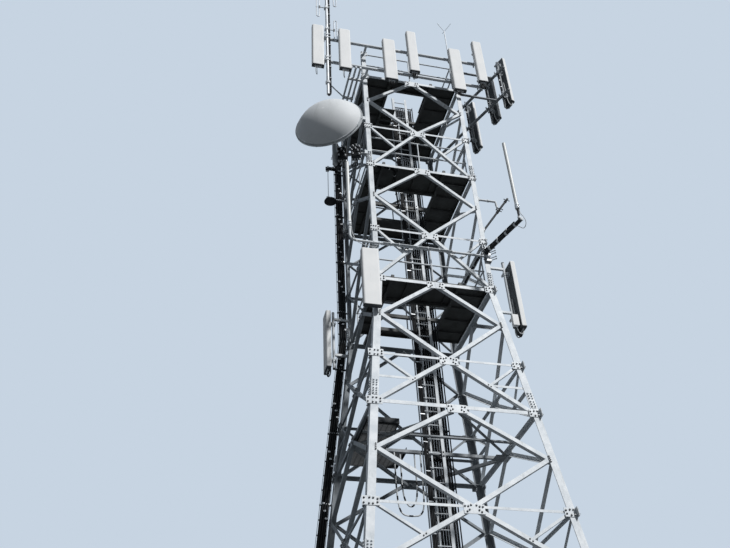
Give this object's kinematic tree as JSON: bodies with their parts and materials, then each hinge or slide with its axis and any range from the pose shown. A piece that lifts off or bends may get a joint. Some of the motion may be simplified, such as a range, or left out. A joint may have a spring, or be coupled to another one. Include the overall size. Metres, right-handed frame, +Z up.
{
  "type": "lattice communications tower",
  "caption": "Self-supporting steel lattice tower with railed platforms, panel antennas, a drum dish, tube and dipole antennas and a feeder cable ladder.",
  "frame": {"origin": "centre of the square of base plates, at their undersides on the level ground", "axes": "+Z up, +X along the front face from the front-left leg to the front-right leg, +Y away from the front face"},
  "size_m": [5.553, 5.3998, 23.9],
  "materials": {
    "galvanised_steel": "galvanised, dull",
    "floor_steel": "galvanised, dull and stained",
    "panel_shell": "painted glass fibre, matt",
    "dish_cover": "moulded radome, matt",
    "dish_metal": "paint, satin",
    "tube_shell": "glass fibre tube, satin",
    "aluminium_tube": "weathered",
    "cable_jacket": "matt jacket"
  },
  "bodies": {
    "root": {"arm_right": "galvanised_steel", "arms_left": "galvanised_steel", "boom_front": "galvanised_steel", "boom_right": "galvanised_steel", "cable_ladder": "galvanised_steel", "climbing_ladder": "galvanised_steel", "dipole_mast": "aluminium_tube", "dish_drum": "dish_metal", "dish_mount": "galvanised_steel", "dish_radome": "dish_cover", "feeder_cables": "cable_jacket", "frame_front": "galvanised_steel", "frame_right": "galvanised_steel", "handrail_lower": "galvanised_steel", "handrail_middle": "galvanised_steel", "handrail_top": "galvanised_steel", "hanging_cable_inner": "cable_jacket", "hanging_cable_outer": "cable_jacket", "landing": "floor_steel", "lattice_lower_back": "galvanised_steel", "lattice_lower_front": "galvanised_steel", "lattice_lower_left": "galvanised_steel", "lattice_lower_right": "galvanised_steel", "lattice_upper_back": "galvanised_steel", "lattice_upper_front": "galvanised_steel", "lattice_upper_left": "galvanised_steel", "lattice_upper_right": "galvanised_steel", "leg_back_left": "galvanised_steel", "leg_back_right": "galvanised_steel", "leg_cables": "cable_jacket", "leg_front_left": "galvanised_steel", "leg_front_right": "galvanised_steel", "lower_panel_poles": "galvanised_steel", "mast_bracket": "galvanised_steel", "panel_cable_1": "panel_shell", "panel_cable_2": "panel_shell", "panel_front_1": "panel_shell", "panel_front_2": "panel_shell", "panel_front_3": "panel_shell", "panel_front_4": "panel_shell", "panel_front_5": "panel_shell", "panel_front_6": "panel_shell", "panel_lower_front": "panel_shell", "panel_lower_left": "panel_shell", "panel_lower_right": "panel_shell", "panel_side_1": "panel_shell", "panel_side_2": "panel_shell", "panel_side_3": "panel_shell", "plan_bracing_high": "galvanised_steel", "plan_bracing_low": "galvanised_steel", "plan_bracing_middle": "galvanised_steel", "platform_lower": "floor_steel", "platform_middle": "floor_steel", "platform_top": "floor_steel", "tube_antenna_left": "tube_shell", "tube_antenna_right": "tube_shell", "tube_cable_left": "cable_jacket", "tube_cable_right": "cable_jacket", "whip_antenna": "aluminium_tube"}
  },
  "joints": []
}
